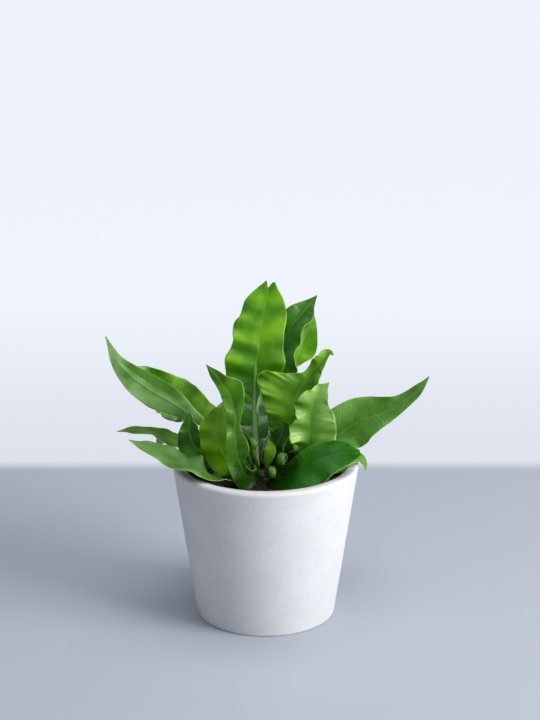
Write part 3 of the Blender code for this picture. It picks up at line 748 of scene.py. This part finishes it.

# %% [markdown]
# ## The fronds on the right
# These lean towards the window; two are painted in the bright green, as painted light. One flares and
# ends in a narrow arm, one reaches out past the pot as a long pointed blade, and a broad one in the
# dark green, as painted shade, lies low in front.

# %% Right-hand fronds
grow({
    "ruffled_right": {
        "route": ((5, 3, 121), (13, 4, 140), (19, 5, 161), (22, 6, 174), (25, 7, 182), (29, 8, 189),
                  (34, 9, 196), (40, 10, 204), (46, 10, 211), (51, 9, 216), (54, 7, 215)),
        "left": (1.5, 5, 10, 15, 19.5, 26, 34, 9, 5, 9, 0.5),
        "right": (1.5, 4, 10, 16, 18, 18, 17, 13, 8, 3.5, 0.5),
        "face": -5, "tilt": 20, "fold": ((10, 10, 10, 10, 12, 14, 20, 50, 60), 10), "waves": (8, 4),
        "high": ((0, 1, 1.6, 1.6, 1.6, 1.8, 2.2, 2.4, 1, 0.8, 0), 3), "start": (0.2, 0.3),
        "green": "bright", "look": {"deep": (44, 102, 0), "fresh": (126, 176, 40), "margin": 1,
        "gloss": 0.24, "relief": 0.3}, "frill": 0.6, "puff": 0.6},
    "bright_right": {
        "route": ((10, -4, 120), (19, -7, 128), (28, -9, 137), (33, -11, 146), (34, -13, 158),
                  (35, -14, 171), (38, -14, 184), (44, -13, 192), (50, -12, 198)),
        "left": (1.5, 1.5, 2, 7, 15, 17, 13.5, 13, 13, 7, 0.5),
        "right": (1.5, 1.5, 2, 8, 21, 22, 21.5, 19.5, 15, 7.5, 0.5),
        "face": 8, "tilt": 15, "fold": 14, "waves": (5, 3), "high": (5, 2), "start": (0.1, 0.3),
        "green": "bright", "look": {"lined": 0.26, "lines": (66, 116, 22), "vein": 0.0023,
        "relief": 0.4, "deep": (76, 134, 22), "fresh": (164, 204, 112)}, "frill": 0.35, "puff": 0.6},
    "long_right": {
        "route": ((12, 2, 119.5), (31, 8, 129), (52, 10, 142), (65, 12, 151), (76, 12, 158),
                  (98, 10, 167), (115, 8, 179), (124, 6, 189), (130, 4, 198)),
        "left": (1.5, 2, 5, 14, 20, 20, 17, 12, 7, 4.5, 0.5),
        "right": (1.5, 2, 5, 12, 17, 19, 15, 8.5, 5.5, 4, 0.5),
        "face": 8, "tilt": 30, "fold": 12, "waves": 3, "high": 2, "green": "mid",
        "look": {"lined": 0.24, "lines": (44, 88, 14), "vein": 0.003, "deep": (48, 104, 16),
        "fresh": (116, 164, 76)}},
    "front_right": {
        "route": ((5, -15, 118.5), (13, -25, 122), (27, -34, 130), (43, -31, 140), (59, -25, 143),
                  (75, -19, 142)),
        "left": (3, 10, 14, 14, 14, 12, 3),
        "right": (5, 11, 15, 18, 16, 12, 3),
        "face": 5, "tilt": 52, "fold": 4, "waves": 2.5, "high": 1.5, "green": "dark",
        "look": {"deep": (8, 68, 0), "fresh": (40, 110, 0), "midrib": 0.05, "lined": 0.05, "gloss": 0.3,
        "under": (60, 120, 20), "shine": 0.12}},
    "rim_right": {
        "route": ((14, -8, 117.5), (31, -12, 120), (52, -13, 127), (67, -9, 133), (75, -5, 133),
                  (79.5, -4, 128), (80.5, -3, 121)),
        "left": (1.5, 4, 7, 7, 6, 5, 0.5),
        "right": (1.5, 4, 7, 7, 6, 5, 0.5),
        "face": 20, "tilt": 60, "fold": 10, "waves": 4, "high": 1.5, "green": "mid",
        "look": {"deep": (60, 110, 20), "fresh": (120, 164, 80)}},
})

# %% [markdown]
# ## The fronds in front
# The front of the nest is crowded: an upright frilled frond crosses the gap, with a broad yellow
# one beside it that the light shines through.

# %% Front fronds
grow({
    "front_left": {
        "route": ((-10, -12, 119), (-21, -13, 126), (-31, -19, 135), (-37, -25, 152), (-38, -27, 171),
                  (-37, -25, 182)),
        "left": (3, 7, 12, 14.5, 14, 13, 3),
        "right": (3, 9, 14, 16, 15, 13, 3),
        "face": -8, "tilt": 15, "fold": 5, "waves": 4, "high": 2, "green": "bright",
        "look": {"deep": (54, 106, 0), "fresh": (118, 164, 10), "through": 0.5, "foot": (30, 62, 4),
        "shade_to": 0.4}},
    "ruffled_front": {
        "route": ((-3, -17, 119), (-15, -33, 128), (-21, -40, 142), (-24, -42, 161), (-24, -38, 180),
                  (-28, -33, 194), (-37, -28, 207), (-46, -26, 217)),
        "left": (2, 5, 11, 11, 10, 9, 8, 7, 6.5, 7, 7, 6, 5, 4, 0.5),
        "right": (2, 4, 10, 6, 4, 9, 11, 7, 4, 6, 11, 13, 7, 3.5, 0.5),
        "face": 5, "tilt": 12, "fold": 14, "waves": (5, 6), "high": (2.5, 3.5), "start": (0, 0),
        "green": "mid", "look": {"deep": (26, 78, 0), "fresh": (80, 136, 6), "margin": 1, "foot": (14,
        48, 2), "shade_to": 0.4, "shade": 0.85}},
    "young_dark": {
        "route": ((4, -3, 121), (7, -6, 140), (12, -7, 151), (14, -6, 160), (8, -2, 163)),
        "left": (1.5, 3, 7, 8, 6, 0.5),
        "right": (1.5, 3, 7, 8, 6, 0.5),
        "face": -20, "tilt": 20, "fold": 20, "waves": 3, "high": 1.5, "green": "dark"},
    "young_wavy": {
        "route": ((0, -9, 120), (2, -11, 133), (4, -12, 143), (2, -11, 151)),
        "left": (1.2, 2, 4, 5, 0.5),
        "right": (1.2, 2, 4, 4, 0.5),
        "face": 10, "tilt": 20, "fold": 15, "waves": 3, "high": 1.2, "green": "bright",
        "look": {"margin": 1, "deep": (60, 124, 4), "fresh": (134, 186, 40)}, "frill": 0.6},
})

# %% [markdown]
# ## The fronds on the left
# A long pale frond leans far out, with a broad one behind it, and two narrow ones fan out
# low over the rim.

# %% Left-hand fronds
grow({
    "rim_left": {
        # painted reflection: the grey in these greens stands for the sheen on the face
        "route": ((-15.5, -9, 117.2), (-27.5, -27, 120.6), (-40, -36, 128), (-55, -37, 135),
                  (-74, -31, 140), (-91, -24, 147), (-108, -19, 153)),
        "left": (1.3, 5.5, 11, 13, 16, 14, 13, 9, 0.5),
        "right": (1.5, 3, 6, 10, 13, 15, 15, 9, 0.5),
        "face": 0, "tilt": 88, "fold": 8, "waves": (4, 5), "high": ((2, 2, 1.5, 1, 0.6), (1, 2.5, 4.5,
        4.5, 1.5, 0.8, 0.5)), "start": (0.3, 0.86), "green": "mid", "look": {"deep": (60, 108, 34),
        "fresh": (116, 154, 92), "under": (90, 132, 60)}},
    "narrow_left": {
        "route": ((-17, 0, 117.5), (-35, 6, 125), (-54, 8, 132), (-75, 8, 143), (-94, 6, 151),
                  (-109, 5, 153), (-119, 4, 152)),
        "left": (1.5, 2, 7, 11, 12, 11, 8, 0.5),
        "right": (1.5, 2, 7, 11, 12, 11, 8, 0.5),
        "tilt": 85, "fold": 5, "waves": 3, "high": 1.5, "green": "dark", "look": {"deep": (34, 80, 0),
        "fresh": (80, 124, 14), "gloss": 0.3, "shine": 0.15}},
    "inner_left": {
        "route": ((-13, -5, 119), (-28, -9, 129), (-46, -11, 137), (-57, -11, 146), (-61, -8, 158),
                  (-60, -5, 172)),
        "left": (1.5, 2, 5, 12, 13, 7, 0.5),
        "right": (1.5, 3, 9, 13, 13, 8, 0.5),
        "face": -20, "tilt": 20, "fold": 10, "waves": 4, "high": 2.5, "green": "dark",
        "look": {"deep": (6, 66, 0), "fresh": (60, 126, 18), "under": (30, 100, 20), "gloss": 0.2,
        "relief": 0.5}, "frill": 0.4, "puff": 0.7},
    "long_left": {
        # partly the underside's own pale green painted on the side that shows, partly painted sheen
        "route": ((-12, 3, 120), (-24, 2, 137), (-40, 1, 152), (-56, 0, 164), (-74, -2, 178),
                  (-91, -6, 190), (-104, -9, 201), (-116, -11, 215), (-125, -12, 236)),
        "left": (1.5, 1.5, 1.5, 1.5, 4, 11, 13, 12, 9, 4, 0.5),
        "right": (1.5, 1.5, 2, 3, 6, 10, 12, 11, 8, 4, 0.5),
        "face": -10, "tilt": 10, "fold": -12, "waves": 2, "high": 1, "green": "bright",
        "look": {"deep": (66, 116, 22), "fresh": (160, 198, 124), "relief": 0.3, "lined": 0.2,
        "lines": (78, 128, 40), "vein": 0.003, "midrib": 0.1, "foot": (36, 88, 4), "shade_to": 0.72,
        "rolled": (0.48, 0.88)}},
    "broad_left": {
        "route": ((-12, 10, 120), (-25, 16, 137), (-43, 22, 152), (-61, 24, 166), (-79, 23, 177),
                  (-94, 19, 190), (-111, 14, 205)),
        "left": (1.5, 1.5, 3, 6, 13, 19, 17, 13, 0.5),
        "right": (1.5, 2, 8, 12, 15, 18, 16, 9, 0.5),
        "face": -10, "tilt": 30, "fold": 15, "waves": (5, 4), "high": (4, 3), "green": "mid",
        "look": {"deep": (50, 100, 0), "fresh": (140, 190, 66), "relief": 0.6, "lined": 0.3,
        "lines": (40, 90, 8), "vein": 0.003}, "frill": 0.35},
})

# %% [markdown]
# ## The fronds at the back
# A rosette is full all the way round, so seven more fronds arch away behind, low enough to stay
# hidden from the front.

# %% Back fronds
grow({
    "back_centre": {
        "route": ((-5, 16, 119.5), (-7, 34, 142), (-7, 50, 156), (-5, 64, 164), (-4, 78, 164)),
        "left": (1.5, 5, 14, 18, 15, 0.5),
        "right": (1.5, 5, 12, 14, 12, 0.5),
        "tilt": 30, "fold": 12, "waves": 4, "high": 2.5, "start": (0.2, 0.7), "green": "mid",
        "look": {"deep": (16, 76, 0), "fresh": (60, 132, 10), "gloss": 0.12, "coat": 0.5,
        "shine": 0.5}},
    "behind_right": {
        "route": ((10, 10, 119.5), (17, 36, 136), (27, 56, 148), (34, 72, 156), (38, 86, 157)),
        "left": (1.5, 4, 14, 17, 13, 0.5),
        "right": (1.5, 4, 13, 16, 12, 0.5),
        "face": 15, "fold": 12, "waves": 4, "high": 2.5, "start": (0.4, 0.1), "green": "mid"},
    "behind_left": {
        "route": ((-11, 15, 118.5), (-19, 40, 134), (-28, 62, 143), (-36, 80, 148), (-41, 94, 144)),
        "left": (1.5, 4, 13, 16, 12, 0.5),
        "right": (1.5, 4, 14, 17, 12, 0.5),
        "face": -15, "fold": 12, "waves": 4, "high": 2.5, "start": (0.6, 0.3), "green": "mid"},
    "arching_back": {
        "route": ((-2, 20, 117.5), (-8, 45, 131), (-14, 75, 138), (-18, 100, 132), (-20, 122, 114)),
        "left": (1.5, 5, 14, 17, 13, 0.5),
        "right": (1.5, 5, 14, 17, 13, 0.5),
        "face": 180, "tilt": 75, "fold": 10, "waves": 4, "high": 2.5, "start": (0.1, 0.6),
        "green": "mid"},
    "arching_right": {
        "route": ((7, 18, 117.5), (20, 44, 129), (33, 72, 136), (42, 96, 130), (47, 116, 114)),
        "left": (1.5, 5, 14, 17, 13, 0.5),
        "right": (1.5, 5, 14, 17, 13, 0.5),
        "face": 150, "tilt": 75, "fold": 10, "waves": 4, "high": 2.5, "start": (0.5, 0.2),
        "green": "mid"},
    "arching_left": {
        "route": ((-17, 10, 117.5), (-40, 24, 130), (-62, 38, 136), (-80, 50, 131), (-92, 61, 118)),
        "left": (1.5, 5, 14, 16, 12, 0.5),
        "right": (1.5, 5, 14, 16, 12, 0.5),
        "face": 200, "tilt": 75, "fold": 10, "waves": 4, "high": 2.5, "start": (0.3, 0.8),
        "green": "mid"},
    "low_right": {
        "route": ((15, 8, 118), (35, 27, 128), (57, 39, 137), (77, 48, 144), (97, 54, 151)),
        "left": (1.5, 4, 13, 16, 11, 0.5),
        "right": (1.5, 4, 13, 16, 11, 0.5),
        "face": 20, "tilt": 65, "fold": 12, "waves": 4, "high": 2.5, "start": (0.8, 0.4),
        "green": "mid"},
})

# %% [markdown]
# ## The coiled young fronds
# A new frond comes up rolled like a watch spring. A round curve with a bevel is the simplest way
# to make one: the line of its points climbs the stem and then winds inwards, and each point has
# its own thickness.

# %% Wind the coils
COILS = {
    "centre": {"foot": (-6, -7, 120.5), "top": (-12, -14, 149), "radius": 4.8, "bearing": 20},
    "right": {"foot": (9, -9, 119.5), "top": (14.5, -20, 138), "radius": 5.0, "bearing": -20},
    "front": {"foot": (2, -12, 118.5), "top": (4, -23, 128), "radius": 4.4, "bearing": 10},
}
COIL_TURNS = 1.15
COIL_SHRINK = 0.62            # how much of its radius a coil loses from its outside to its inner end
STEM_THICK = (1.3, 0.4)       # millimetres: a stem's radius at its foot and its gain by the crook
COIL_THICK = (1.7, -0.75)     # the coil's own radius at the crook and its gain by its inner end
WIDENED = 1.1                 # a coil is a rolled blade, so it is about twice as wide as it is thick


def coil_points(coil, stem_steps=30, coil_steps=80):
    """Positions along a stem and its coil, with the thickness at each, in millimetres."""
    foot, top = np.array(coil["foot"], float), np.array(coil["top"], float)
    bearing = radians(coil["bearing"])
    outward = np.array([sin(bearing), -cos(bearing), 0])
    up = np.array([0, 0, 1.0])
    points, sizes = [], []
    for share in np.arange(stem_steps) / stem_steps:
        sway = share * share * (3 - 2 * share)
        points.append(foot + (top - foot) * np.array([sway, sway, share]))
        sizes.append(STEM_THICK[0] + STEM_THICK[1] * share)
    for share in np.arange(coil_steps + 1) / coil_steps:
        turn = 2 * pi * COIL_TURNS * share
        arm = coil["radius"] * (1 - COIL_SHRINK * share)
        points.append(top + outward * (coil["radius"] - arm * cos(turn)) + up * arm * sin(turn))
        sizes.append(COIL_THICK[0] + COIL_THICK[1] * share)
    return points, sizes


made, start = new_material("coiled_green")
place = start.node("TexCoord", output=3)
down = place.noise(0.0012, 3).band(0.45, 0.65)
colour = (down * 0.3).blend(paint(52, 112, 14), paint(96, 98, 40))
finish_material(made, colour, 0.2 + down * 0.3, place.noise(0.0005, 2), 0.0003,
                {"Subsurface Weight": 0.2, "Subsurface Radius": (0.5, 1.0, 0.15),
                 "Subsurface Scale": 0.001})
for name, coil in COILS.items():
    points, sizes = coil_points(coil)
    curve = bpy.data.curves.new("coil_" + name, "CURVE")
    curve.dimensions = "3D"
    curve.bevel_depth = MM
    curve.bevel_resolution = 5
    curve.use_fill_caps = True
    spline = curve.splines.new("POLY")
    spline.points.add(len(points) - 1)
    for knot, point, size in zip(spline.points, points, sizes):
        knot.co = (*(point * MM), 1)
        knot.radius = size
    rough = bpy.data.objects.new("coil_" + name, curve)
    bpy.context.scene.collection.objects.link(rough)
    data = applied(rough)
    bpy.data.objects.remove(rough, do_unlink=True)
    mesh = bmesh.new()
    mesh.from_mesh(data)
    bmesh.ops.remove_doubles(mesh, verts=mesh.verts, dist=1e-6)
    sideways = np.array([cos(radians(coil["bearing"])), sin(radians(coil["bearing"])), 0])
    middle = np.array(coil["top"]) * MM
    for vert in mesh.verts:
        off_centre = float(np.dot(np.array(vert.co) - middle, sideways))
        wound = ramp(coil["top"][2] - 12, coil["top"][2] - 2, vert.co.z / MM)
        vert.co = np.array(vert.co) + sideways * off_centre * WIDENED * float(wound)
    bmesh.ops.recalc_face_normals(mesh, faces=mesh.faces)
    mesh.to_mesh(data)
    mesh.free()
    data.materials.clear()
    data.shade_smooth()
    data.name = "coil_" + name
    add_piece("coil_" + name, data, made, "coiled_frond_" + name)
print("coils", len(COILS), "widened", WIDENED)

# %% [markdown]
# ## The studio
# A pale grey-blue table in front turns into a near-white distance behind, which glows and is painted
# darker close to the table. One very large soft window stands to the right and a little in front, a
# weaker one hangs overhead, and the room fills the rest with pale lavender light.

# %% Floor
mesh = bmesh.new()
bmesh.ops.create_grid(mesh, x_segments=1, y_segments=1, size=40)
floor_data = bpy.data.meshes.new("studio_floor")
mesh.to_mesh(floor_data)
mesh.free()
floor = bpy.data.objects.new("studio_floor", floor_data)
bpy.context.scene.collection.objects.link(floor)
made, start = new_material("studio_floor")
place = start.node("TexCoord", output=3)
back = place.node("SeparateXYZ", (), {0: place}, output=1)
reach = place.node("VectorMath", {"operation": "LENGTH"}, {0: place}, output=1)
far = back.math("MAXIMUM", back.band(0.325, 0.36), reach.band(1.2, 3.0))
table = far.blend((0.466, 0.50, 0.568, 1.0), (0.05, 0.05, 0.055, 1.0))
# the far floor glows as a backdrop, painted darker close to the table as painted shade
backdrop_shading = back.band(0.33, 1.0).blend((0.66, 0.69, 0.77, 1.0), (0.80, 0.835, 0.92, 1.0))
glow = far.blend((0.0, 0.0, 0.0, 1.0), backdrop_shading)
finish_material(made, table, 0.6)
shader = made.node_tree.nodes["Principled BSDF"]
made.node_tree.links.new(glow.socket, shader.inputs["Emission Color"])
shader.inputs["Emission Strength"].default_value = 1.0
floor_data.materials.append(made)
print("floor", tuple(floor.dimensions))


# %% Window, overhead light and room
def area_light(name, place, target, size, power, colour):
    lamp = bpy.data.lights.new(name, "AREA")
    lamp.shape = "RECTANGLE"
    lamp.size, lamp.size_y = size
    lamp.energy = power
    lamp.color = colour
    made = bpy.data.objects.new(name, lamp)
    bpy.context.scene.collection.objects.link(made)
    made.location = place
    aim = np.array(target) - np.array(place)
    turn = np.arctan2(aim[0], -aim[1])
    drop = np.arctan2(np.hypot(aim[0], aim[1]), -aim[2])
    made.rotation_euler = (drop, 0, turn + pi)
    return made


area_light("window", (1.66, -0.83, 0.85), (0, 0, 0.12), (1.05, 0.95), 41, (1.0, 0.99, 0.97))
area_light("overhead", (0.0, 0.0, 2.2), (0, 0, 0.1), (1.6, 1.6), 21, (0.96, 0.97, 1.0))
world = bpy.data.worlds.new("room")
bpy.context.scene.world = world
world.use_nodes = True
background = world.node_tree.nodes["Background"]
background.inputs["Color"].default_value = (0.87, 0.905, 1.0, 1.0)
background.inputs["Strength"].default_value = 0.32
bpy.context.scene.view_settings.view_transform = "Standard"
print("lights", [lamp.name for lamp in bpy.data.lights])

# %% Camera
lens = bpy.data.cameras.new("portrait")
lens.lens = 95
lens.sensor_width = 36
lens.clip_end = 100
camera = bpy.data.objects.new("portrait", lens)
bpy.context.scene.collection.objects.link(camera)
camera.location = (0, -1.439, 0.647)
camera.rotation_euler = (radians(73.22), 0, radians(-0.14))
bpy.context.scene.camera = camera
print("camera", tuple(camera.location))
